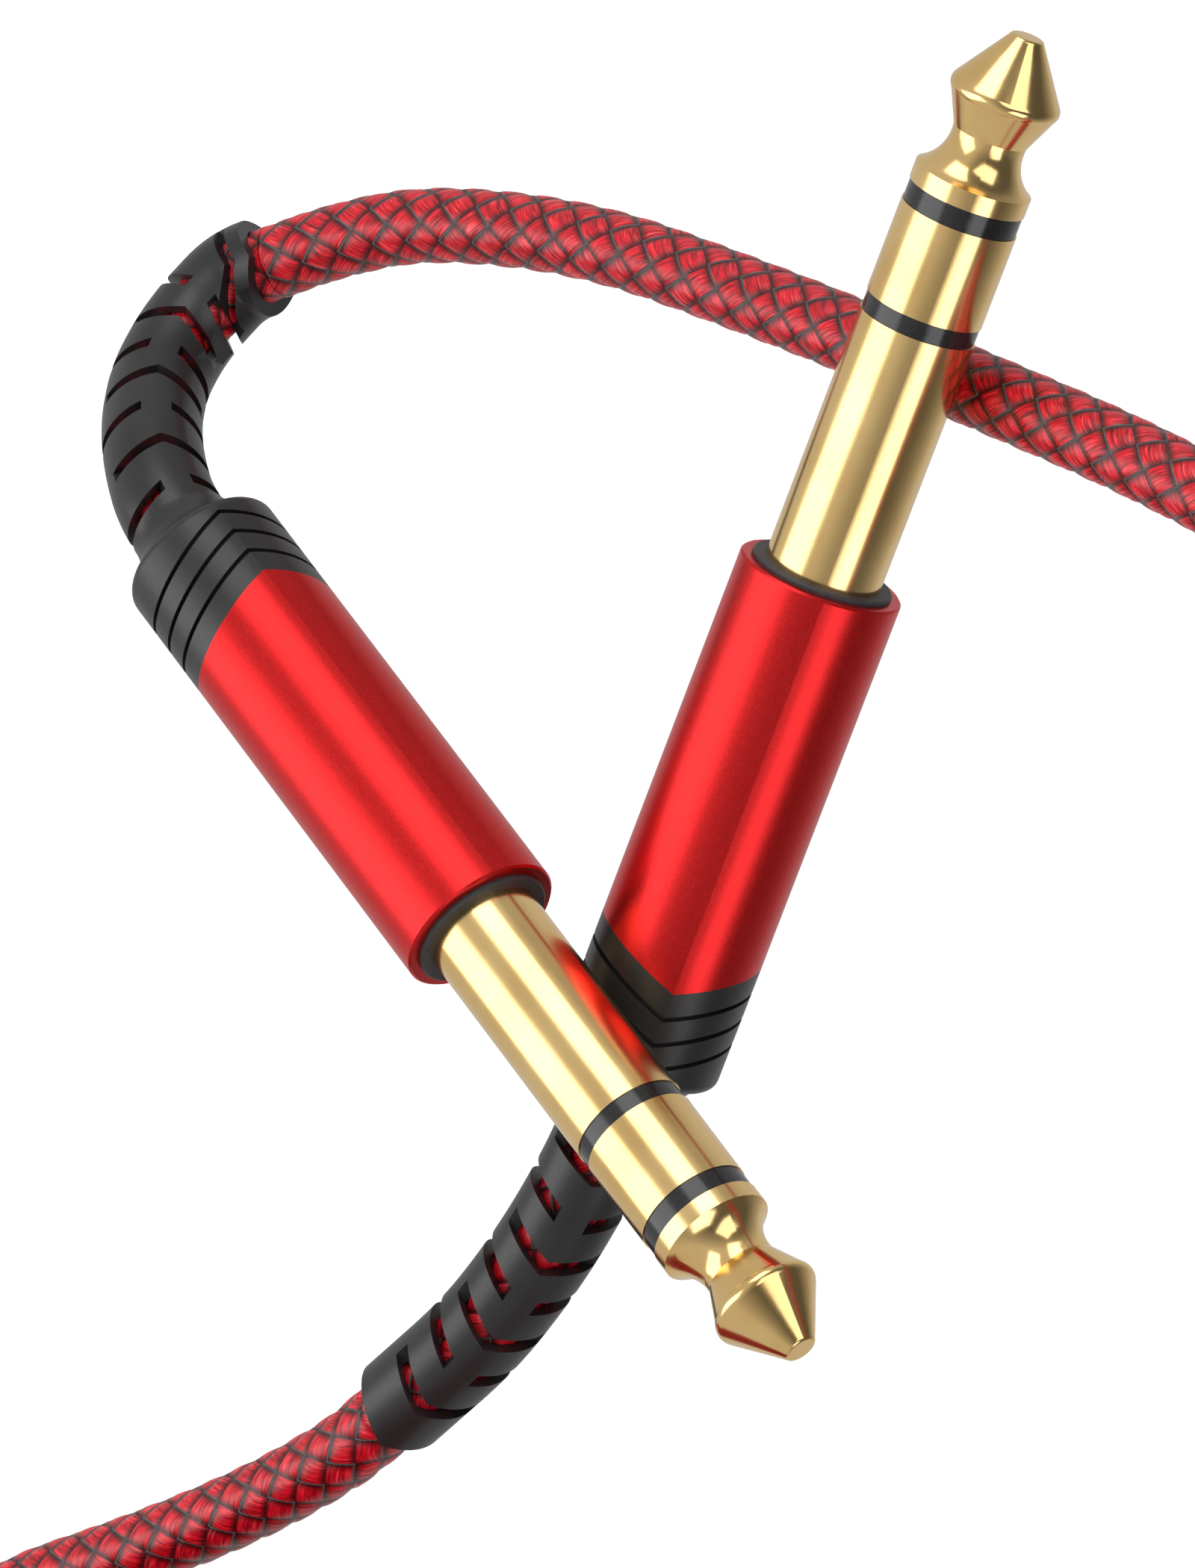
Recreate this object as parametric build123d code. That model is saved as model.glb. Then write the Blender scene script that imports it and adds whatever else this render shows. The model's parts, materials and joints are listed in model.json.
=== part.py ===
"""A braided instrument cable with a 6.35 mm three-contact plug on each end.

Both plugs are one design, drawn once in a frame of its own and then laid in place. Plug A crosses a
little above plug B's collar, held up by its own boot; plug B's barrel passes clear above the cord of
plug A. Millimetres, +Z up, z = 0 is the surface that the cable lies on.
"""
from build123d import *
import os
from math import cos, pi, radians, sin, tan

# ---- plug, measured along its axis from the shell's front rim: + towards the tip ----
CONTACT_R = 3.175            # a 6.35 mm jack plug
INSULATOR_R = 3.11           # the two dark rings sit a little under the gold
SLEEVE_END = 14.5            # front end of the sleeve contact
RING_START, RING_END = 15.5, 20.7
TIP_START, TIP_COLLAR_END = 21.85, 22.85
NECK_R, NECK_AT = 2.03, 25.3  # the waist that a socket's spring drops into
NOSE_R, NOSE_AT = 3.0, 27.5   # the widest place of the tip
NOSE_END_R, TIP_END = 0.8, 30.9
ROD_R, TIP_TUBE_R, RING_TUBE_R, SLEEVE_BORE_R = 0.9, 1.35, 1.8, 2.3
SHELL_R, SHELL_WALL = 4.47, 0.6
SHELL_BORE_R = SHELL_R - SHELL_WALL
DISC_PROUD, DISC_BACK = 0.3, 1.0
DISC_SEAT_R = 2.95           # the disc sits in a shallow groove at the root of the sleeve
SHELL_PEAK = -23.0           # the shell's rear edge is a chevron: its point, and how much it falls back
CHEVRON_DEPTH = 1.8
CHEVRON_SLOPE = CHEVRON_DEPTH / SHELL_R
GROOVE_PITCH, GROOVE_WIDTH, GROOVE_DEPTH, GROOVES = 1.5, 0.28, 0.35, 3
COLLAR_END, SHOULDER_R = -28.5, 0.6
BOOT_NECK_END, BOOT_R = -31.2, 2.75
SPIGOT_FRONT = -18.5         # how far the boot reaches into the shell
SLOT_ROWS, SLOT_FIRST, SLOT_PITCH = 8, 3.3, 2.8
SLOT_WIDTH = {"a": 0.7, "b": 0.95}  # as they stand open in each boot
SLOT_BRIDGE = 1.65           # rubber left between the two slots of a row
# ---- inside the shell ----
CORE_FRONT = -2.2            # front of the inner moulding, behind the sleeve's flange
SLEEVE_TAIL_R, SLEEVE_TAIL_END = 2.9, -5.0
RING_WASHER_R, RING_WASHER_END = 3.0, -6.2
RING_TAIL_END = -8.2
TIP_WASHER_R, TIP_WASHER_END = 2.0, -9.2
ROD_END = -11.0
LUG = 0.4                    # thickness of the solder lugs
SLEEVE_LUG_R, RING_LUG_R, TIP_LUG_R = 3.5, 2.7, 1.75
CABLE_FRONT = -17.0          # where the cable's jacket ends inside the plug
CHAMBER_R, CHAMBER_FRONT = 3.4, -14.0
WIRE_R, SOLDER_R = 0.45, 0.7
TIP_WIRE_END = (2.05, 0, -12.0)
RING_WIRE_END = (-3.0, 0, -10.6)
GROUND_WIRE_END = (0, 2.55, -12.2)
# ---- cord ----
CORD_R = 2.05
CORD_LENGTH = 3000.0
ARC_SHARE = 0.45             # an arc takes up to this share of the shorter run beside it
FIRST_RUN = 3.6              # straight cord out of a boot
COIL_CENTRE = (-86.9, -18.1)
COIL_OUTER_R, COIL_BORE_R, COIL_HEIGHT, COIL_EDGE_R = 36.0, 14.2, 16.6, 2.0
# ---- how the plugs lie: rim centre, heading, rise of the tip, roll of the chevron's point ----
PLUGS = {
    "a": {"rim": (-12.67, -7.05, 13.11), "yaw": -107.9, "rise": -1.2, "roll": 57.6},
    "b": {"rim": (11.63, -13.40, 6.475), "yaw": 0.0, "rise": 4.14, "roll": -45.0},
}
# Boots bend from the end of the collar; these are the corners after that point.
BOOT_CORNERS = {
    "a": [
        (-2.82, 23.32, 13.75), (-1.51, 26.24, 12.57), (-0.24, 28.96, 10.86), (1.48, 31.57, 8.53),
        (4.1, 33.13, 6.08), (7.58, 32.9, 4.3), (9.46, 30.94, 3.85),
    ],
    "b": [(-22.5, -13.4, 4.02), (-28.9, -12.2, 3.5), (-34.9, -10.2, 3.0), (-42.0, -6.4, 2.68)],
}
# The free cord, as the corners of its route after the straight run out of each boot.
LEAD_CORNERS = {
    "a": [
        (15.0, 24.3, 2.4), (17.71, 17.85, 2.05), (19.66, 11.32, 2.05), (20.9, 4.2, 2.05),
        (22.3, -4.9, 2.05), (23.5, -14.7, 2.05), (24.9, -26.1, 2.05), (25.4, -37.5, 2.05),
        (21.6, -48.6, 2.05), (13.2, -57.4, 2.05), (1.6, -62.3, 2.05), (-11.5, -63.6, 2.05),
        (-26.0, -62.6, 2.05), (-43.5, -60.9, 2.05), (-64.0, -57.2, 2.05), (-86.9, -51.7, 2.05),
    ],
    "b": [
        (-51.0, 0.1, 2.05), (-57.6, 6.5, 2.05), (-64.2, 13.6, 2.05), (-73.2, 18.9, 2.05),
        (-83.3, 20.4, 2.05), (-93.4, 17.6, 2.05), (-102.0, 12.0, 2.05),
    ],
}


def turned(*outline):
    """A solid of revolution from its half outline, (radius, height) from point to point."""
    return revolve(Plane.XZ * make_face(Polyline(*outline, close=True)), Axis.Z)


def tube(inner, outer, low, high):
    return turned((inner, low), (outer, low), (outer, high), (inner, high))


def rod(radius, low, high):
    return turned((0, low), (radius, low), (radius, high), (0, high))


def block(x, y, z):
    """A box from its low and high limits along each axis."""
    size = [limits[1] - limits[0] for limits in (x, y, z)]
    middle = [(limits[0] + limits[1]) / 2 for limits in (x, y, z)]
    return Pos(*middle) * Box(*size)


def chevron_back(point):
    """Everything behind the chevron whose point is at this height, seen along the point's side."""
    half, far = 8.0, -60.0
    outline = [(-half, far), (-half, point + half * CHEVRON_SLOPE), (0, point),
               (half, point + half * CHEVRON_SLOPE), (half, far)]
    return extrude(Plane.YZ * make_face(Polyline(*outline, close=True)), amount=half, both=True)


def tip_contact():
    waist = ThreePointArc((CONTACT_R, TIP_COLLAR_END), (2.27, 23.8), (NECK_R, NECK_AT))
    flare = Line(waist @ 1, (NOSE_R - 0.13, NOSE_AT - 0.35))
    crown = ThreePointArc(flare @ 1, (NOSE_R, NOSE_AT), (NOSE_R - 0.1, NOSE_AT + 0.35))
    nose = Line(crown @ 1, (NOSE_END_R + 0.15, TIP_END - 0.15))
    blunt = ThreePointArc(nose @ 1, (NOSE_END_R + 0.06, TIP_END - 0.04), (NOSE_END_R - 0.1, TIP_END))
    rest = Polyline(blunt @ 1, (0, TIP_END), (0, ROD_END), (ROD_R, ROD_END), (ROD_R, TIP_START),
                    (CONTACT_R, TIP_START), (CONTACT_R, TIP_COLLAR_END))
    return revolve(Plane.XZ * make_face(waist + flare + crown + nose + blunt + rest), Axis.Z)


def tip_insulator():
    return turned((ROD_R, TIP_WASHER_END), (TIP_WASHER_R, TIP_WASHER_END), (TIP_WASHER_R, RING_TAIL_END),
                  (TIP_TUBE_R, RING_TAIL_END), (TIP_TUBE_R, RING_END), (INSULATOR_R, RING_END),
                  (INSULATOR_R, TIP_START), (ROD_R, TIP_START))


def ring_contact():
    return turned((TIP_TUBE_R, RING_TAIL_END), (RING_TUBE_R, RING_TAIL_END), (RING_TUBE_R, RING_START),
                  (CONTACT_R, RING_START), (CONTACT_R, RING_END), (TIP_TUBE_R, RING_END))


def ring_insulator():
    return turned((RING_TUBE_R, RING_WASHER_END), (RING_WASHER_R, RING_WASHER_END),
                  (RING_WASHER_R, SLEEVE_TAIL_END), (SLEEVE_BORE_R, SLEEVE_TAIL_END),
                  (SLEEVE_BORE_R, SLEEVE_END), (INSULATOR_R, SLEEVE_END),
                  (INSULATOR_R, RING_START), (RING_TUBE_R, RING_START))


def sleeve_contact():
    return turned((SLEEVE_BORE_R, SLEEVE_TAIL_END), (SLEEVE_TAIL_R, SLEEVE_TAIL_END),
                  (SLEEVE_TAIL_R, CORE_FRONT), (SHELL_BORE_R, CORE_FRONT), (SHELL_BORE_R, -DISC_BACK),
                  (DISC_SEAT_R, -DISC_BACK), (DISC_SEAT_R, DISC_PROUD), (CONTACT_R, DISC_PROUD),
                  (CONTACT_R, SLEEVE_END), (SLEEVE_BORE_R, SLEEVE_END))


def front_disc():
    lip = 0.12
    return turned((DISC_SEAT_R, -DISC_BACK), (SHELL_BORE_R, -DISC_BACK), (SHELL_BORE_R, DISC_PROUD - lip),
                  (SHELL_BORE_R - lip, DISC_PROUD), (DISC_SEAT_R, DISC_PROUD))


def shell():
    bevel = 0.12
    barrel = turned((SHELL_BORE_R, -26), (SHELL_R, -26), (SHELL_R, -bevel), (SHELL_R - bevel, 0),
                    (SHELL_BORE_R, 0))
    return barrel - chevron_back(SHELL_PEAK)


def lugs():
    """The three solder lugs: a washer on each contact's tail, with a tongue towards the cable."""
    sleeve = tube(SLEEVE_TAIL_R, SLEEVE_LUG_R, CORE_FRONT - LUG, CORE_FRONT)
    sleeve += block((-1.2, 1.2), (3.0, 3.4), (-14.4, CORE_FRONT))
    ring = tube(RING_TUBE_R, RING_LUG_R, RING_WASHER_END - LUG, RING_WASHER_END)
    ring += block((-2.55, -2.15), (-0.9, 0.9), (-12.4, RING_WASHER_END))
    tip = tube(ROD_R, TIP_LUG_R, TIP_WASHER_END - LUG, TIP_WASHER_END)
    tip += block((1.2, 1.6), (-0.8, 0.8), (-13.8, TIP_WASHER_END))
    return {"sleeve_lug": sleeve, "ring_lug": ring, "tip_lug": tip}


def wire(start, bend, end):
    """An insulated core: straight out of the jacket, across, and straight along its lug."""
    path = FilletPolyline(start, (start[0], start[1], start[2] + 0.9), bend, end, radius=0.9)
    return sweep(Plane(origin=path @ 0, z_dir=path % 0) * Circle(WIRE_R), path=path)


def wires():
    return {
        "tip_wire": wire((0.8, 0, CABLE_FRONT), (2.05, 0, -14.3), TIP_WIRE_END),
        "ring_wire": wire((-0.8, 0, CABLE_FRONT), (-3.0, 0, -13.9), RING_WIRE_END),
        "ground_wire": wire((0, 1.2, CABLE_FRONT), (0, 2.55, -14.6), GROUND_WIRE_END),
    }


def solder(parts):
    """One bead on each lug, round the end of its wire."""
    top, bottom = 0.35, -1.1
    outline = [(0, 0), (0, top), (0.4, top - 0.1), (SOLDER_R, -0.2), (SOLDER_R, -0.7), (WIRE_R, bottom),
               (WIRE_R, 0)]
    beads = []
    for lug, (x, y, end) in (("tip_lug", TIP_WIRE_END), ("ring_lug", RING_WIRE_END),
                             ("sleeve_lug", GROUND_WIRE_END)):
        beads.append((Pos(x, y, end) * turned(*outline) - parts[lug]).solid())
    return Compound(beads)


def inner_moulding():
    """The plastic carrier that fills the shell, with a pocket round each lug and a chamber for the cores."""
    filled = turned((SHELL_BORE_R, CORE_FRONT), (SLEEVE_LUG_R, CORE_FRONT), (SLEEVE_LUG_R, CORE_FRONT - LUG),
                    (SLEEVE_TAIL_R, CORE_FRONT - LUG), (SLEEVE_TAIL_R, SLEEVE_TAIL_END),
                    (RING_WASHER_R, SLEEVE_TAIL_END), (RING_WASHER_R, RING_WASHER_END),
                    (RING_LUG_R, RING_WASHER_END), (RING_LUG_R, RING_WASHER_END - LUG),
                    (RING_TUBE_R, RING_WASHER_END - LUG), (RING_TUBE_R, RING_TAIL_END),
                    (TIP_WASHER_R, RING_TAIL_END), (TIP_WASHER_R, TIP_WASHER_END),
                    (TIP_LUG_R, TIP_WASHER_END), (TIP_LUG_R, TIP_WASHER_END - LUG),
                    (ROD_R, TIP_WASHER_END - LUG), (ROD_R, ROD_END), (0, ROD_END), (0, CHAMBER_FRONT),
                    (CHAMBER_R, CHAMBER_FRONT), (CHAMBER_R, CABLE_FRONT), (CORD_R, CABLE_FRONT),
                    (CORD_R, SPIGOT_FRONT), (SHELL_BORE_R, SPIGOT_FRONT))
    back = CHAMBER_FRONT - 0.5
    filled -= block((-1.3, 1.3), (1.75, 3.55), (back, CORE_FRONT))
    filled -= block((-3.72, -1.95), (-1.0, 1.0), (back, RING_WASHER_END - LUG / 2))
    filled -= block((1.1, 2.8), (-0.9, 0.9), (back, TIP_WASHER_END - LUG / 2))
    return filled.solid()


def collar():
    """The boot's front, not yet bored: a spigot inside the shell, the grooved collar, and the neck."""
    shoulder = ThreePointArc((SHELL_R, COLLAR_END + SHOULDER_R),
                             (SHELL_R - 0.3 * SHOULDER_R, COLLAR_END + 0.3 * SHOULDER_R),
                             (SHELL_R - SHOULDER_R, COLLAR_END))
    neck = ThreePointArc(shoulder @ 1, (3.05, COLLAR_END - 1.0), (BOOT_R, BOOT_NECK_END))
    rest = Polyline(neck @ 1, (0, BOOT_NECK_END), (0, -20), (SHELL_R, -20), (SHELL_R, COLLAR_END + SHOULDER_R))
    outside = revolve(Plane.XZ * make_face(shoulder + neck + rest), Axis.Z) & chevron_back(SHELL_PEAK)
    groove_ring = tube(SHELL_R - GROOVE_DEPTH, SHELL_R + 1, -30, -20)
    for i in range(GROOVES):
        front = SHELL_PEAK - (i + 1) * GROOVE_PITCH + GROOVE_WIDTH / 2
        outside -= groove_ring & (chevron_back(front) - chevron_back(front - GROOVE_WIDTH))
    return outside + rod(SHELL_BORE_R, -26, SPIGOT_FRONT)


def rounded_path(points):
    """Straight runs joined by tangent arcs, each as large as its two runs allow."""
    spots = [Vector(*p) for p in points]
    radii = []
    for before, here, after in zip(spots, spots[1:], spots[2:]):
        turn = radians((here - before).get_angle(after - here))
        shorter = min((here - before).length, (after - here).length)
        radii.append(ARC_SHARE * shorter / tan(turn / 2))
    return FilletPolyline(*points, radius=radii), radii


def round_sweep(path, radius):
    return sweep(Plane(origin=path @ 0, z_dir=path % 0) * Circle(radius), path=path)


def plug_plane(rim, yaw, rise, roll):
    """The plug's own frame laid in the model: z along the axis to the tip, x to the chevron's point."""
    yaw, rise, roll = radians(yaw), radians(rise), radians(roll)
    axis = Vector(cos(rise) * cos(yaw), cos(rise) * sin(yaw), sin(rise))
    side = Vector(-sin(yaw), cos(yaw), 0)
    up = axis.cross(side)
    return Plane(origin=rim, x_dir=up * cos(roll) + side * sin(roll), z_dir=axis)


def slot_tools(path, peak, width):
    """The boot's chevron end, and chevron slots through its wall, the two kinds of row turn about."""
    step, steps = 0.25, int(path.length / 0.25)
    frames, across = [], peak
    for i in range(steps + 1):
        ahead = (path % (i * step / path.length)).normalized()
        across = (across - ahead * across.dot(ahead)).normalized()
        frames.append(Plane(origin=path @ (i * step / path.length), x_dir=across, z_dir=ahead))
    half, gap, reach = width / 2, SLOT_BRIDGE / 2, 5.0
    fall = reach * CHEVRON_SLOPE
    vee = [(-reach, -fall - half), (0, -half), (reach, -fall - half),
           (reach, -fall + half), (0, half), (-reach, -fall + half)]
    band = extrude(Plane.YZ * make_face(Polyline(*vee, close=True)), amount=reach, both=True)
    facing = band - block((-gap, gap), (-6, 6), (-6, 6))
    sideways = band - block((-6, 6), (-gap, gap), (-6, 6))
    beyond = [(-reach, -fall), (0, 0), (reach, -fall), (reach, reach), (-reach, reach)]
    end_cut = extrude(Plane.YZ * make_face(Polyline(*beyond, close=True)), amount=reach, both=True)
    tools = [frames[-1].location * end_cut]
    for row in range(SLOT_ROWS):
        at = frames[round((SLOT_FIRST + row * SLOT_PITCH) / step)]
        tools.append(at.location * (sideways if row % 2 == 0 else facing))
    return tools


def make_plug(letter):
    """Every piece of one plug, laid in place."""
    parts = {
        "tip_contact": tip_contact(), "tip_insulator": tip_insulator(), "ring_contact": ring_contact(),
        "ring_insulator": ring_insulator(), "sleeve_contact": sleeve_contact(),
        "front_disc": front_disc(), "shell": shell(), **lugs(), **wires(),
    }
    parts["solder_joints"] = solder(parts)
    parts["inner_moulding"] = inner_moulding()
    plane = plug_plane(**PLUGS[letter])
    placed = {name: plane.location * shape for name, shape in parts.items()}

    collar_end = plane.from_local_coords((0, 0, COLLAR_END))
    path, radii = rounded_path([tuple(collar_end), *BOOT_CORNERS[letter]])
    print("plug", letter, "boot length", round(path.length, 2), "arc radii", [round(r, 1) for r in radii])
    cable = plane.location * rod(CORD_R, COLLAR_END, CABLE_FRONT) + round_sweep(path, CORD_R)
    boot = plane.location * collar() + round_sweep(path, BOOT_R)
    for tool in slot_tools(path, plane.x_dir, SLOT_WIDTH[letter]):
        boot -= tool
    boot -= cable
    placed["boot"] = boot
    placed["cable_end"] = cable
    return placed, path.length


def coil():
    """The outer shape of the wound cord."""
    ring = tube(COIL_BORE_R, COIL_OUTER_R, 0, COIL_HEIGHT)
    ring = fillet(ring.edges(), COIL_EDGE_R)
    return Pos(*COIL_CENTRE, 0) * ring


def lead(letter):
    """The free cord from a boot's end to the coil, starting straight along the boot's last run."""
    before, end = (Vector(*corner) for corner in BOOT_CORNERS[letter][-2:])
    first = end + (end - before).normalized() * FIRST_RUN
    path, radii = rounded_path([tuple(end), tuple(first), *LEAD_CORNERS[letter]])
    whole = round_sweep(path, CORD_R)
    ratio = whole.volume / (pi * CORD_R**2 * path.length)
    print("lead", letter, "length", round(path.length, 1), "least arc radius", round(min(radii), 1),
          "in diameters", round(min(radii) / (2 * CORD_R), 1), "volume over section x length", round(ratio, 4))
    print("   radii", [round(r, 1) for r in radii])
    return whole - Pos(*COIL_CENTRE) * rod(COIL_OUTER_R, -5, COIL_HEIGHT + 5), path.length


def main():
    nodes, ends = {}, 0.0
    for letter in PLUGS:
        placed, boot_length = make_plug(letter)
        for name, shape in placed.items():
            nodes[f"plug_{letter}_{name}"] = shape
        ends += boot_length
    nodes["cord_coil"] = coil()
    free = 0.0
    for letter in PLUGS:
        nodes[f"cord_lead_{letter}"], length = lead(letter)
        free += length
    print("cord to wind", round(CORD_LENGTH - free, 1), "of", CORD_LENGTH, "inside the boots", round(ends, 1))
    os.makedirs("parts", exist_ok=True)
    for name, shape in nodes.items():
        export_step(shape, f"parts/{name}.step")
    still = Compound([s for name, shape in nodes.items() if not name.startswith("cord_") for s in shape.solids()])
    box = still.bounding_box()
    print("nodes", len(nodes), "plugs' box", box.min, box.max, "middle", box.center())


main()
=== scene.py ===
"""The looks of a braided instrument cable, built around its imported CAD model, in metres."""
import json
from math import cos, pi, radians, sin

import bpy
import numpy as np
from mathutils import Matrix, Vector


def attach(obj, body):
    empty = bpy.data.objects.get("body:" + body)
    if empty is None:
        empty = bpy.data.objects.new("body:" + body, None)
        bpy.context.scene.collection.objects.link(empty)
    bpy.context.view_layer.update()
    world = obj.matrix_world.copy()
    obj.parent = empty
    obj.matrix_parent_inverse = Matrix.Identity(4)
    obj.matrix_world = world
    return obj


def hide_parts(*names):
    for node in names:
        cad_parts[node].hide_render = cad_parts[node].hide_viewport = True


MM = 0.001

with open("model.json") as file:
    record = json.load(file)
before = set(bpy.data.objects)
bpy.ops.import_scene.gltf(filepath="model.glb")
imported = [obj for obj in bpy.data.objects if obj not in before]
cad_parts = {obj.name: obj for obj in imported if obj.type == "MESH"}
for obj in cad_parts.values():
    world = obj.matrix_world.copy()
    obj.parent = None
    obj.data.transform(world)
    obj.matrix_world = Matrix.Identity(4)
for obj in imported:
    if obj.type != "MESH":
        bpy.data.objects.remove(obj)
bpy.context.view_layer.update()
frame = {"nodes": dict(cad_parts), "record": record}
nodes = frame["nodes"]
mounts = {m["name"]: m for m in frame["record"]["mounts"]}

# ---- camera ----
CAMERA_AT = (0.14503, -0.37972, 0.5015)
CAMERA_RIGHT = (0.38598, -0.67589, -0.62784)
CAMERA_UP = (0.89223, 0.44645, 0.0679)
CAMERA_BACK = (0.23441, -0.58639, 0.77537)
LENS, SENSOR = 276.44, 36.0  # in millimetres, the sensor by its height

# ---- soft boxes: the way to each as the camera sees it (right, up, back), width, height, watts ----
SOFTBOX_DISTANCE = 0.8
SOFTBOXES = {
    "left": ((-0.95, -0.05, 0.32), 0.45, 1.0, 3.2),
    "right": ((0.5, 0.25, 0.83), 0.5, 0.7, 2.0),
    "low_right": ((0.42, -0.62, 0.66), 0.38, 0.38, 1.1),
    "top": ((-0.2, 0.83, 0.52), 0.5, 0.5, 1.9),
}

# ---- plugs ----
BARREL_MIDDLE = 11.575 * MM  # from a shell's rim to its mount, halfway along the gold barrel
COLLAR_END = 28.5 * MM       # from the rim back to the end of the grooved collar
JACKET_FRONT = 17.0 * MM     # from the rim back to where the cord ends inside the plug

# ---- cord ----
CORD_LENGTH, CORD_DIAMETER = 3.0, 4.1 * MM
CORD_R = CORD_DIAMETER / 2
FIRST_RUN = 3.6              # straight cord out of a boot, in millimetres
# The route's corners in millimetres: inside each boot from its collar, then on from its end.
BOOT_A = [
    (-2.82, 23.32, 13.75), (-1.51, 26.24, 12.57), (-0.24, 28.96, 10.86), (1.48, 31.57, 8.53),
    (4.1, 33.13, 6.08), (7.58, 32.9, 4.3), (9.46, 30.94, 3.85),
]
BOOT_B = [(-22.5, -13.4, 4.02), (-28.9, -12.2, 3.5), (-34.9, -10.2, 3.0), (-42.0, -6.4, 2.68)]
LEAD_A = [
    (15.0, 24.3, 2.4), (17.71, 17.85, 2.05), (19.66, 11.32, 2.05), (20.9, 4.2, 2.05),
    (22.3, -4.9, 2.05), (23.5, -14.7, 2.05), (24.9, -26.1, 2.05), (25.4, -37.5, 2.05),
    (21.6, -48.6, 2.05), (13.2, -57.4, 2.05), (1.6, -62.3, 2.05), (-11.5, -63.6, 2.05),
    (-26.0, -62.6, 2.05), (-43.5, -60.9, 2.05), (-64.0, -57.2, 2.05), (-86.9, -51.7, 2.05),
]
LEAD_B = [(-51.0, 0.1, 2.05), (-57.6, 6.5, 2.05), (-64.2, 13.6, 2.05), (-73.2, 18.9, 2.05)]
# The coil, in millimetres: layers wound in and out by turns, and a ramp down outside them.
COIL_CENTRE = (-86.9, -18.1)
COIL_INNER, COIL_OUTER, COIL_RAMP = 16.8, 34.1, 38.4  # radii of the cord's middle
COIL_START = radians(270)    # where plug A's cord comes in
TURN_POINTS = 16
LAYERS, LAYER_STEP, LAYER_POINTS = 4, 4.12, 4 * TURN_POINTS
LIFT_POINTS, RAMP_LEVEL_POINTS, RAMP_DOWN_POINTS = 5, 3, 6

# ---- braid ----
CARRIERS = 6                 # bundles each way round
CELL_PITCH = 2.34 * MM       # from one bundle to the next of its kind, along the cord
CREST_R, CREASE_R = 2.06 * MM, 1.93 * MM
SIDE_POWER, END_POWER = 5, 0.55  # they shape a bundle's crown across it and along it
THREAD = 0.075               # width of the dark thread beside a bundle, as a share of the bundle's
THREAD_RELIEF = 500.0        # brings a thread's round top to the height of the streaks
STREAKS_ACROSS, STREAKS_ALONG = 13.0, 1.1
STREAK_BOW = 0.25            # how far the streaks bow sideways within a cell
CELL_SEED = 3.7              # keeps one cell's streaks apart from the next one's
# The weave has relief on these lengths out of plug A and plug B, and is a plain tube between them.
FINE_LENGTH_A, FINE_LENGTH_B = 84 * MM, 44 * MM
FINE_STEP, COARSE_STEP = 0.2 * MM, 1.7 * MM  # from one ring of points to the next
FINE_ROUND, COARSE_ROUND = 60, 20            # points in a ring


# ---------------------------------------------------------------- camera, floor and light
def add_camera():
    data = bpy.data.cameras.new("camera")
    data.sensor_fit = "VERTICAL"
    data.sensor_height = SENSOR
    data.lens = LENS
    data.clip_start, data.clip_end = 0.01, 10
    camera = bpy.data.objects.new("camera", data)
    bpy.context.scene.collection.objects.link(camera)
    turn = Matrix((CAMERA_RIGHT, CAMERA_UP, CAMERA_BACK)).transposed()
    camera.matrix_world = Matrix.Translation(CAMERA_AT) @ turn.to_4x4()
    bpy.context.scene.camera = camera


def add_floor():
    """A pale floor whose own glow evens out the shadows."""
    mesh = bpy.data.meshes.new("floor")
    half = 3.0
    corners = [(-half, -half, 0), (half, -half, 0), (half, half, 0), (-half, half, 0)]
    mesh.from_pydata(corners, [], [(0, 1, 2, 3)])
    floor = bpy.data.objects.new("floor", mesh)
    bpy.context.scene.collection.objects.link(floor)
    graph = Graph("pale_floor", **{"Base Color": (0.3, 0.3, 0.3, 1), "Roughness": 0.9,
                                   "Emission Color": (1, 1, 1, 1), "Emission Strength": 0.97})
    mesh.materials.append(graph.material)
    # It neither lights the cable nor shows in the metal.
    floor.visible_glossy = floor.visible_diffuse = False


def add_softbox(name, direction, width, height, power):
    """A rectangular light that faces the plugs from that direction."""
    data = bpy.data.lights.new(name, "AREA")
    data.shape = "RECTANGLE"
    data.size, data.size_y = width, height
    data.energy = power
    light = bpy.data.objects.new(name, data)
    way = Vector(direction).normalized()
    light.location = way * SOFTBOX_DISTANCE
    light.rotation_euler = way.to_track_quat("Z", "Y").to_euler()
    bpy.context.scene.collection.objects.link(light)


def screen_way(right, up, back):
    """A direction given as the camera sees it."""
    return Vector(CAMERA_RIGHT) * right + Vector(CAMERA_UP) * up + Vector(CAMERA_BACK) * back


def add_world():
    """A grey room that is darker on the camera's right, so that round metal shows a dark side."""
    world = bpy.data.worlds.new("studio")
    bpy.context.scene.world = world
    world.use_nodes = True
    tree = world.node_tree
    background = tree.nodes["Background"]
    place = tree.nodes.new("ShaderNodeTexCoord")
    dot = tree.nodes.new("ShaderNodeVectorMath")
    dot.operation = "DOT_PRODUCT"
    dot.inputs[1].default_value = screen_way(0.8, 0.0, 0.6).normalized()
    tree.links.new(place.outputs["Generated"], dot.inputs[0])
    ramp = tree.nodes.new("ShaderNodeValToRGB")
    light_side, dark_side = ramp.color_ramp.elements
    light_side.position, light_side.color = 0.1, (0.8, 0.8, 0.8, 1)
    dark_side.position, dark_side.color = 0.75, (0.15, 0.15, 0.15, 1)
    tree.links.new(dot.outputs["Value"], ramp.inputs["Fac"])
    tree.links.new(ramp.outputs["Color"], background.inputs["Color"])
    background.inputs["Strength"].default_value = 0.75


def add_lights():
    for name, (way, width, height, power) in SOFTBOXES.items():
        add_softbox(name, screen_way(*way), width, height, power)


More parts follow.
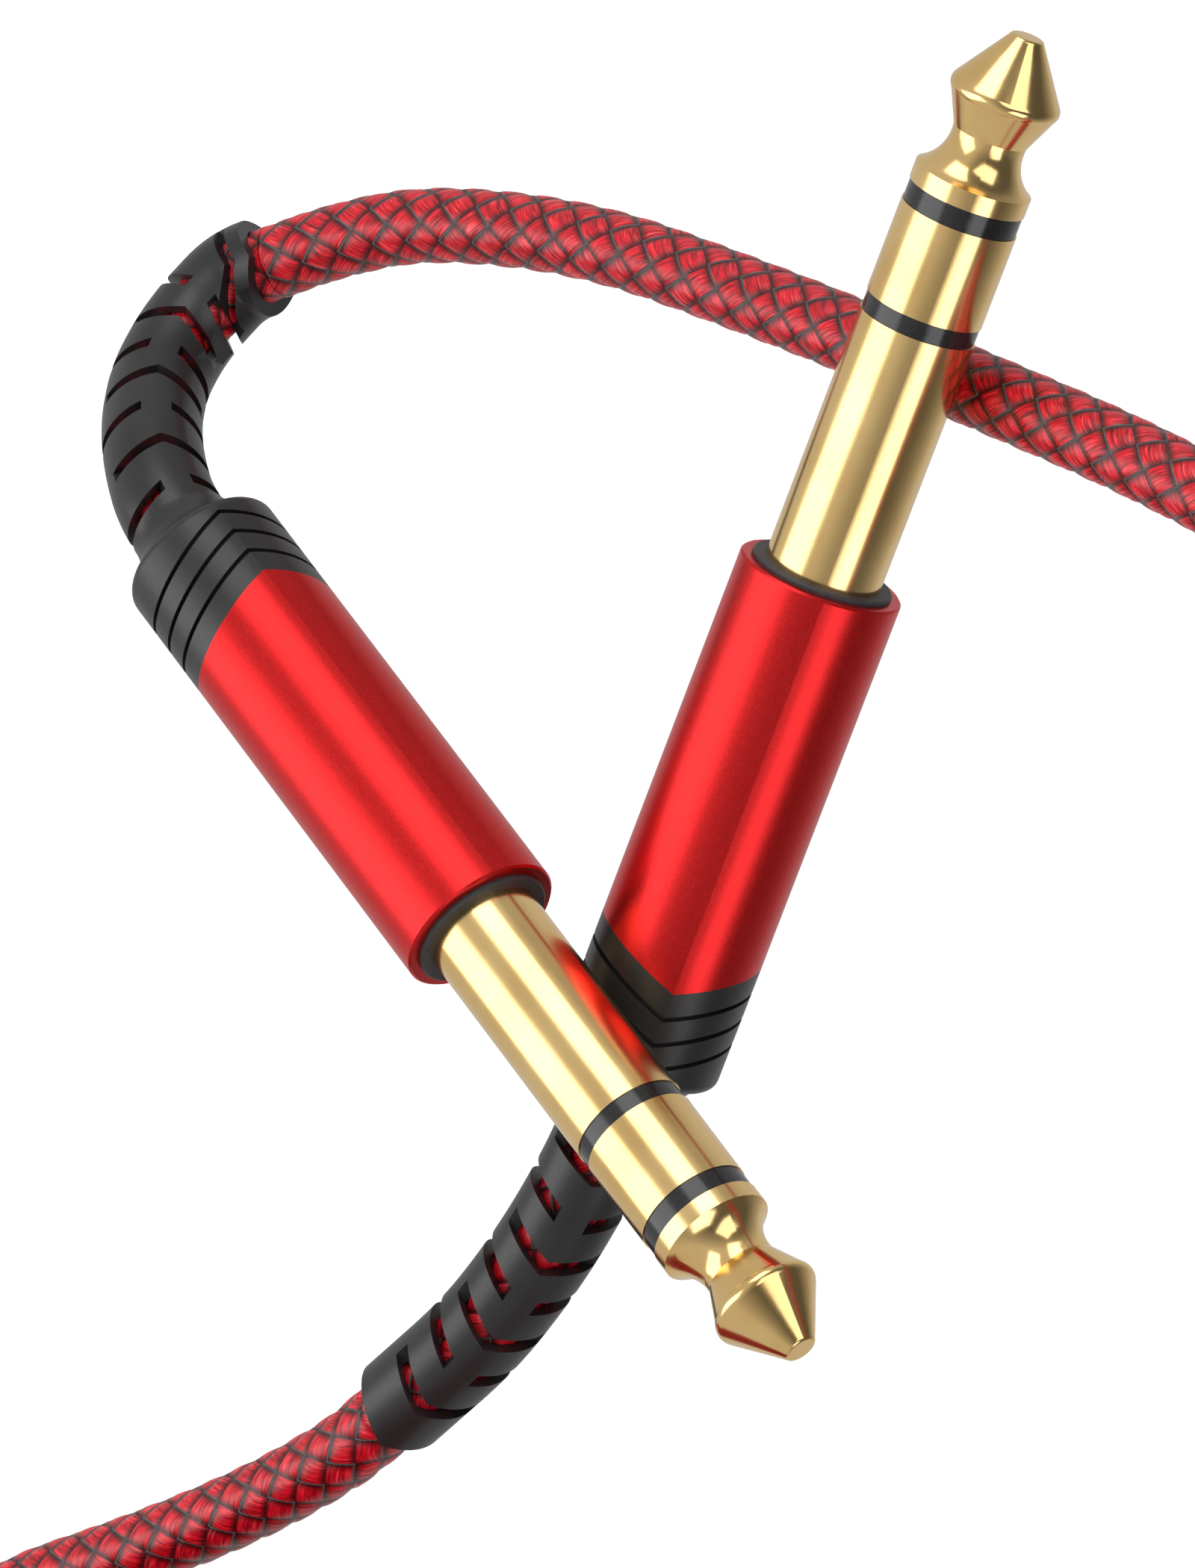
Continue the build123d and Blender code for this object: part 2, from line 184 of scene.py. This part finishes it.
# ---------------------------------------------------------------- materials
class Graph:
    """A material's nodes, added one after another."""

    def __init__(self, name, **settings):
        self.material = bpy.data.materials.new(name)
        self.material.use_nodes = True
        self.tree = self.material.node_tree
        self.shader = self.tree.nodes["Principled BSDF"]
        for key, value in settings.items():
            self.shader.inputs[key].default_value = value

    def node(self, kind, inputs=(), **settings):
        node = self.tree.nodes.new(kind)
        for key, value in settings.items():
            setattr(node, key, value)
        for key, value in dict(inputs).items():
            self.feed(node.inputs[key], value)
        return node

    def feed(self, socket, value):
        if isinstance(value, bpy.types.NodeSocket):
            self.tree.links.new(value, socket)
        else:
            socket.default_value = value

    def math(self, operation, first, second=0.0, third=0.0):
        inputs = {0: first, 1: second, 2: third}
        return self.node("ShaderNodeMath", inputs, operation=operation).outputs[0]

    def place(self, letter=None):
        """The point in the model's frame, or in a plug's own frame, where z runs to the tip."""
        point = self.node("ShaderNodeTexCoord").outputs["Object"]
        if letter is None:
            return point
        rim, turn = plug_frame(letter)
        inputs = {"Vector": point, "Location": rim, "Rotation": turn.to_euler()}
        return self.node("ShaderNodeMapping", inputs, vector_type="TEXTURE").outputs[0]

    def stretched(self, vector, scale):
        return self.node("ShaderNodeMapping", {"Vector": vector, "Scale": scale}).outputs[0]

    def noise(self, vector, scale, detail=2.0, roughness=0.5):
        inputs = {"Vector": vector, "Scale": scale, "Detail": detail, "Roughness": roughness}
        return self.node("ShaderNodeTexNoise", inputs).outputs["Fac"]

    def ramp(self, value, *stops):
        """A colour or grey that follows the value through these (position, colour) stops."""
        ramp = self.node("ShaderNodeValToRGB", {"Fac": value})
        elements = ramp.color_ramp.elements
        while len(elements) < len(stops):
            elements.new(0.5)
        for element, (position, colour) in zip(elements, stops):
            element.position = position
            element.color = (*colour, 1) if isinstance(colour, tuple) else (colour, colour, colour, 1)
        return ramp.outputs["Color"]

    def mix(self, share, first, second, blend="MIX"):
        inputs = {"Factor": share, "A": first, "B": second}
        mix = self.node("ShaderNodeMix", data_type="RGBA", blend_type=blend)
        for socket in mix.inputs:
            if socket.name in inputs and socket.type == ("VALUE" if socket.name == "Factor" else "RGBA"):
                self.feed(socket, inputs[socket.name])
        return next(s for s in mix.outputs if s.type == "RGBA")

    def bump(self, height, distance, strength=1.0, normal=None):
        inputs = {"Height": height, "Distance": distance, "Strength": strength}
        if normal is not None:
            inputs["Normal"] = normal
        return self.node("ShaderNodeBump", inputs).outputs[0]

    def finish(self, **sockets):
        for key, value in sockets.items():
            self.feed(self.shader.inputs[key.replace("_", " ")], value)
        return self.material


def plug_frame(letter):
    """A plug's rim centre and the turn that takes z onto its axis, from its mount."""
    mount = mounts[f"plug_{letter}"]
    axis = Vector(mount["axis"]).normalized()
    return Vector(mount["pos_m"]) - axis * BARREL_MIDDLE, axis.to_track_quat("Z", "X")


def gold(letter):
    """Polished gold plate with faint turning marks."""
    graph = Graph(f"gold_{letter}", Metallic=1.0)
    place = graph.place(letter)
    marks = graph.noise(graph.stretched(place, (40, 40, 9000)), 1.0, 3.0)
    cloud = graph.noise(place, 260.0, 2.0)
    rough = graph.math("MULTIPLY_ADD", cloud, 0.08, 0.13)
    colour = graph.ramp(cloud, (0.3, (0.84, 0.56, 0.22)), (0.7, (0.92, 0.65, 0.29)))
    return graph.finish(Base_Color=colour, Roughness=rough, Normal=graph.bump(marks, 0.000002, 0.3))


def anodised(letter):
    """Satin red anodised aluminium with fine turning marks and a grain."""
    graph = Graph(f"red_shell_{letter}", Metallic=0.85)
    place = graph.place(letter)
    marks = graph.noise(graph.stretched(place, (200, 200, 6000)), 1.0, 3.0)
    grain = graph.noise(place, 9000.0, 2.0)
    rough = graph.math("MULTIPLY_ADD", grain, 0.14, 0.25)
    colour = graph.ramp(grain, (0.2, (0.56, 0.012, 0.014)), (0.8, (0.75, 0.022, 0.022)))
    rows = graph.bump(marks, 0.000003, 0.5)
    return graph.finish(Base_Color=colour, Roughness=rough, Normal=graph.bump(grain, 0.000004, 0.4, rows))


def rubber():
    """Matte dark moulded rubber."""
    graph = Graph("boot_rubber")
    place = graph.place()
    grain = graph.noise(place, 5000.0, 4.0, 0.6)
    patch = graph.noise(place, 220.0, 3.0)
    colour = graph.ramp(patch, (0.3, (0.013, 0.013, 0.014)), (0.7, (0.022, 0.022, 0.023)))
    rough = graph.math("MULTIPLY_ADD", grain, 0.16, 0.3)
    return graph.finish(Base_Color=colour, Roughness=rough, Normal=graph.bump(grain, 0.00002, 0.25))


def plastic(name, dark, light, rough):
    graph = Graph(name)
    grain = graph.noise(graph.place(), 4000.0, 3.0)
    colour = graph.ramp(grain, (0.3, dark), (0.7, light))
    roughness = graph.math("MULTIPLY_ADD", grain, 0.08, rough)
    return graph.finish(Base_Color=colour, Roughness=roughness, Normal=graph.bump(grain, 0.00001, 0.2))


def metal(name, dark, light, rough):
    graph = Graph(name, Metallic=1.0)
    grain = graph.noise(graph.place(), 2500.0, 3.0)
    colour = graph.ramp(grain, (0.3, dark), (0.7, light))
    roughness = graph.math("MULTIPLY_ADD", grain, 0.15, rough)
    return graph.finish(Base_Color=colour, Roughness=roughness, Normal=graph.bump(grain, 0.00001, 0.3))


def braid():
    """The woven cover, from its UVs: u counts cells along the cord, v turns round it."""
    graph = Graph("braid")
    uv = graph.node("ShaderNodeUVMap", uv_map="weave").outputs[0]
    split = graph.node("ShaderNodeSeparateXYZ", {"Vector": uv})
    along, turns = split.outputs["X"], graph.math("MULTIPLY", split.outputs["Y"], CARRIERS)
    first, second = graph.math("SUBTRACT", along, turns), graph.math("ADD", along, turns)
    whole_1, whole_2 = graph.math("FLOOR", first), graph.math("FLOOR", second)
    part_1, part_2 = graph.math("SUBTRACT", first, whole_1), graph.math("SUBTRACT", second, whole_2)
    cell = graph.math("ADD", whole_1, whole_2)
    other = graph.math("FLOORED_MODULO", cell, 2.0)        # 0 where the first bundle is on top

    def pick(one, two):
        """one where the first bundle is on top, and two elsewhere."""
        return graph.math("MULTIPLY_ADD", other, graph.math("SUBTRACT", two, one), one)

    across, length = pick(part_1, part_2), pick(part_2, part_1)
    edge = pick(part_1, graph.math("SUBTRACT", 1.0, part_2))   # from the side that carries the thread
    seed = graph.math("MULTIPLY_ADD", cell, CELL_SEED, graph.math("FLOORED_MODULO", whole_1, CARRIERS))
    bow = graph.math("MULTIPLY", length, graph.math("SUBTRACT", 1.0, length))
    curved = graph.math("MULTIPLY_ADD", bow, STREAK_BOW, across)
    strand = graph.node("ShaderNodeCombineXYZ", {
        "X": graph.math("MULTIPLY", curved, STREAKS_ACROSS),
        "Y": graph.math("MULTIPLY", length, STREAKS_ALONG),
        "Z": seed,
    })
    streak = graph.noise(strand.outputs[0], 1.0, 3.0, 0.6)
    red = graph.ramp(streak, (0.3, (0.1, 0.0, 0.003)), (0.45, (0.5, 0.002, 0.012)),
                     (0.6, (0.86, 0.008, 0.024)), (0.74, (1.0, 0.12, 0.14)))
    # Painted shade: a bundle's colour is darkened where it dives under the next one, and along its flanks.
    middle = graph.math("MULTIPLY", bow, 4.0)
    sides = graph.math("MULTIPLY", across, graph.math("SUBTRACT", 1.0, across))
    # Painted shade towards a bundle's ends, and along its flanks.
    ends = graph.ramp(middle, (0.0, 0.01), (0.4, 0.3), (0.85, 1.0))
    painted_flank_shade = graph.ramp(graph.math("MULTIPLY", sides, 4.0), (0.0, 0.2), (0.25, 1.0))
    painted_shade = graph.math("MULTIPLY", ends, painted_flank_shade)
    # The red is multiplied by the painted shade.
    red_with_painted_shade = graph.mix(1.0, red, painted_shade, "MULTIPLY")
    thread = graph.math("LESS_THAN", edge, THREAD)
    colour = graph.mix(thread, red_with_painted_shade, (0.075, 0.07, 0.072, 1))
    round_thread = graph.math("MULTIPLY", edge, graph.math("SUBTRACT", THREAD, edge))
    raised = graph.math("MULTIPLY", round_thread, THREAD_RELIEF)
    relief = graph.math("MULTIPLY_ADD", thread, raised, streak)
    rough = graph.math("MULTIPLY_ADD", streak, -0.2, 0.42)
    return graph.finish(Base_Color=colour, Roughness=rough, Normal=graph.bump(relief, 0.00005, 0.6))


# ---------------------------------------------------------------- cord
def coil_corners():
    """Clockwise turns: from the floor up in layers wound in and out, then down a ramp outside them."""
    step = 2 * pi / TURN_POINTS
    angle, height = COIL_START, 0.0
    places = []

    def put(radius):
        nonlocal angle
        angle -= step
        spot = (COIL_CENTRE[0] + radius * cos(angle), COIL_CENTRE[1] + radius * sin(angle))
        places.append((*spot, CORD_R / MM + height))

    for layer in range(LAYERS):
        ends = (COIL_OUTER, COIL_INNER) if layer % 2 == 0 else (COIL_INNER, COIL_OUTER)
        for i in range(1, LAYER_POINTS + 1):
            put(ends[0] + (ends[1] - ends[0]) * i / LAYER_POINTS)
        if layer < LAYERS - 1:
            for i in range(1, LIFT_POINTS + 1):
                height = (layer + eased(i / LIFT_POINTS)) * LAYER_STEP
                put(ends[1])
    top = height
    for i in range(1, RAMP_LEVEL_POINTS + 1):
        put(COIL_OUTER + (COIL_RAMP - COIL_OUTER) * eased(i / RAMP_LEVEL_POINTS))
    for i in range(1, RAMP_DOWN_POINTS + 1):
        height = top * (1 - eased(i / RAMP_DOWN_POINTS))
        put(COIL_RAMP)
    return places


def eased(share):
    """The share from 0 to 1 with a gentle start and end."""
    return share * share * (3 - 2 * share)


def first_corner(boot):
    """The corner that keeps the cord straight out of its boot."""
    before, end = (Vector(p) for p in boot[-2:])
    return tuple(end + (end - before).normalized() * FIRST_RUN)


def route():
    """All the cord's control points, from inside plug A to inside plug B, in metres."""
    starts = []
    for letter in "ab":
        rim, turn = plug_frame(letter)
        axis = turn @ Vector((0, 0, 1))
        starts.append([tuple((rim - axis * back) / MM) for back in (JACKET_FRONT, COLLAR_END)])
    corners = (starts[0] + BOOT_A + [first_corner(BOOT_A)] + LEAD_A + coil_corners()
               + LEAD_B[::-1] + [first_corner(BOOT_B)] + BOOT_B[::-1] + starts[1][::-1])
    return [Vector(corner) * MM for corner in corners]


def smooth_line(corners):
    """The points of one NURBS spline with these control points."""
    data = bpy.data.curves.new("route", "CURVE")
    data.dimensions = "3D"
    data.resolution_u = 24
    spline = data.splines.new("NURBS")
    spline.points.add(len(corners) - 1)
    for point, corner in zip(spline.points, corners):
        point.co = (*corner, 1)
    spline.order_u = 3
    spline.use_endpoint_u = True
    holder = bpy.data.objects.new("route", data)
    mesh = bpy.data.meshes.new_from_object(holder)
    line = np.array([v.co[:] for v in mesh.vertices])
    bpy.data.objects.remove(holder)
    bpy.data.curves.remove(data)
    bpy.data.meshes.remove(mesh)
    return line


def frames_along(line):
    """Directions along the line, and sideways directions that turn no more than they must."""
    ahead = np.gradient(line, axis=0)
    ahead /= np.linalg.norm(ahead, axis=1)[:, None]
    side = np.empty_like(line)
    side[0] = np.cross(ahead[0], (0, 0, 1))
    side[0] /= np.linalg.norm(side[0])
    for i in range(1, len(line)):
        side[i] = side[i - 1] - ahead[i] * (side[i - 1] @ ahead[i])
        side[i] /= np.linalg.norm(side[i])
    return ahead, side


def weave_radius(along, turns):
    """The braid's surface: a pillow in each cell of a plain weave."""
    first, second = along - turns * CARRIERS, along + turns * CARRIERS
    whole_1, whole_2 = np.floor(first), np.floor(second)
    part_1, part_2 = first - whole_1, second - whole_2
    swap = (whole_1 + whole_2) % 2 > 0.5
    across, length = np.where(swap, part_2, part_1), np.where(swap, part_1, part_2)
    pillow = (1 - np.abs(2 * across - 1) ** SIDE_POWER) * np.sin(pi * length) ** END_POWER
    return CREASE_R + (CREST_R - CREASE_R) * pillow


def tube_mesh(name, stations, line_at, s_zero, fine):
    """A tube with a ring at each station along the line; fine rings carry the relief of the weave."""
    verts, faces, uvs = [], [], []
    before = None
    for s, is_fine in zip(stations, fine):
        round_count = FINE_ROUND if is_fine else COARSE_ROUND
        centre, ahead, side = line_at(s)
        turns = np.arange(round_count) / round_count
        along = (s - s_zero) / CELL_PITCH
        radius = weave_radius(along, turns) if is_fine else np.full(round_count, (CREST_R + CREASE_R) / 2)
        up = np.cross(ahead, side)
        ring = centre + radius[:, None] * (np.cos(2 * pi * turns)[:, None] * side
                                           + np.sin(2 * pi * turns)[:, None] * up)
        start = len(verts)
        verts.extend(ring.tolist())
        if before:
            join_rings(before, (start, round_count, along), faces, uvs)
        else:
            faces.append(list(range(start, start + round_count))[::-1])
            uvs.append([(along, 0.5)] * round_count)
        before = (start, round_count, along)
    start, count, along = before
    faces.append(list(range(start, start + count)))
    uvs.append([(along, 0.5)] * count)
    mesh = bpy.data.meshes.new(name)
    mesh.from_pydata(verts, [], faces)
    layer = mesh.uv_layers.new(name="weave")
    layer.data.foreach_set("uv", np.array([pair for face in uvs for pair in face], np.float32).ravel())
    mesh.polygons.foreach_set("use_smooth", [True] * len(mesh.polygons))
    piece = bpy.data.objects.new(name, mesh)
    bpy.context.scene.collection.objects.link(piece)
    return piece


def join_rings(one, two, faces, uvs):
    """Faces between two rings; where one ring has more points, its edges share the other's."""
    coarse = min(one[1], two[1])
    for i in range(coarse):
        ring = []
        for (start, count, along), forward in ((one, True), (two, False)):
            ratio = count // coarse
            part = [(start + (i * ratio + k) % count, (along, (i * ratio + k) / count))
                    for k in range(ratio + 1)]
            ring += part[::-1] if forward else part
        faces.append([index for index, _ in ring])
        uvs.append([uv for _, uv in ring])


def stations_between(low, high, fine_low, fine_high):
    """Places for rings: close together in the two fine stretches and wide apart elsewhere."""
    places, fine = [], []
    s = low
    while s < high - FINE_STEP / 2:
        is_fine = s < fine_low or s >= fine_high
        places.append(s)
        fine.append(is_fine)
        s += FINE_STEP if is_fine else COARSE_STEP
    return places + [high], fine + [True]


def add_cord():
    """The braided cord and its two ends inside the boots, all one weave."""
    line = smooth_line(route())
    run = np.concatenate([[0], np.cumsum(np.linalg.norm(np.diff(line, axis=0), axis=1))])
    ahead, side = frames_along(line)

    def line_at(s):
        at = [np.array([np.interp(s, run, column) for column in table.T]) for table in (line, ahead, side)]
        at[1] /= np.linalg.norm(at[1])
        at[2] -= at[1] * (at[2] @ at[1])
        at[2] /= np.linalg.norm(at[2])
        return at

    def nearest(corner):
        return int(np.argmin(np.linalg.norm(line - np.array(corner) * MM, axis=1)))

    first, last = nearest(BOOT_A[-1]), nearest(BOOT_B[-1])
    low, high = run[first], run[last]
    material = braid()
    places, fine = stations_between(low, high, low + FINE_LENGTH_A, high - FINE_LENGTH_B)
    cord = tube_mesh("cord", places, line_at, low, fine)
    print("cord length", round(high - low, 4), "polygons", len(cord.data.polygons))
    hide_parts("cord_lead_a", "cord_lead_b", "cord_coil")
    pieces = [cord]
    for letter, start, stop in (("a", 0.0, low), ("b", high, run[-1])):
        places, fine = stations_between(start, stop, stop, stop)
        stub = tube_mesh(f"cord_end_{letter}", places, line_at, low, fine)
        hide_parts(f"plug_{letter}_cable_end")
        pieces.append(stub)
    for piece in pieces:
        piece.data.materials.append(material)
        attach(piece, "root")


# ---------------------------------------------------------------- plugs
def dress(node, material):
    """Give a CAD node one material."""
    mesh = nodes[node].data
    mesh.materials.clear()
    mesh.materials.append(material)


def dress_plugs():
    boot = rubber()
    ring = plastic("insulator", (0.012, 0.012, 0.013), (0.02, 0.02, 0.022), 0.12)
    disc = plastic("disc", (0.03, 0.03, 0.031), (0.045, 0.045, 0.047), 0.5)
    carrier = plastic("carrier", (0.06, 0.06, 0.06), (0.08, 0.08, 0.08), 0.5)
    white = plastic("core_white", (0.6, 0.58, 0.54), (0.72, 0.7, 0.66), 0.4)
    dark = plastic("core_dark", (0.02, 0.02, 0.02), (0.035, 0.035, 0.035), 0.4)
    lug = metal("tinned_lug", (0.6, 0.58, 0.52), (0.75, 0.73, 0.68), 0.3)
    solder = metal("solder", (0.5, 0.5, 0.5), (0.68, 0.68, 0.68), 0.25)
    for letter in "ab":
        contact, shell = gold(letter), anodised(letter)
        looks = {
            "tip_contact": contact, "ring_contact": contact, "sleeve_contact": contact,
            "tip_insulator": ring, "ring_insulator": ring, "front_disc": disc, "shell": shell,
            "boot": boot, "inner_moulding": carrier, "tip_wire": white, "ring_wire": white,
            "ground_wire": dark, "sleeve_lug": lug, "ring_lug": lug, "tip_lug": lug,
            "solder_joints": solder,
        }
        for name, material in looks.items():
            dress(f"plug_{letter}_{name}", material)


bpy.context.scene.view_settings.view_transform = "Standard"
add_camera()
add_cord()
add_floor()
add_world()
add_lights()
dress_plugs()
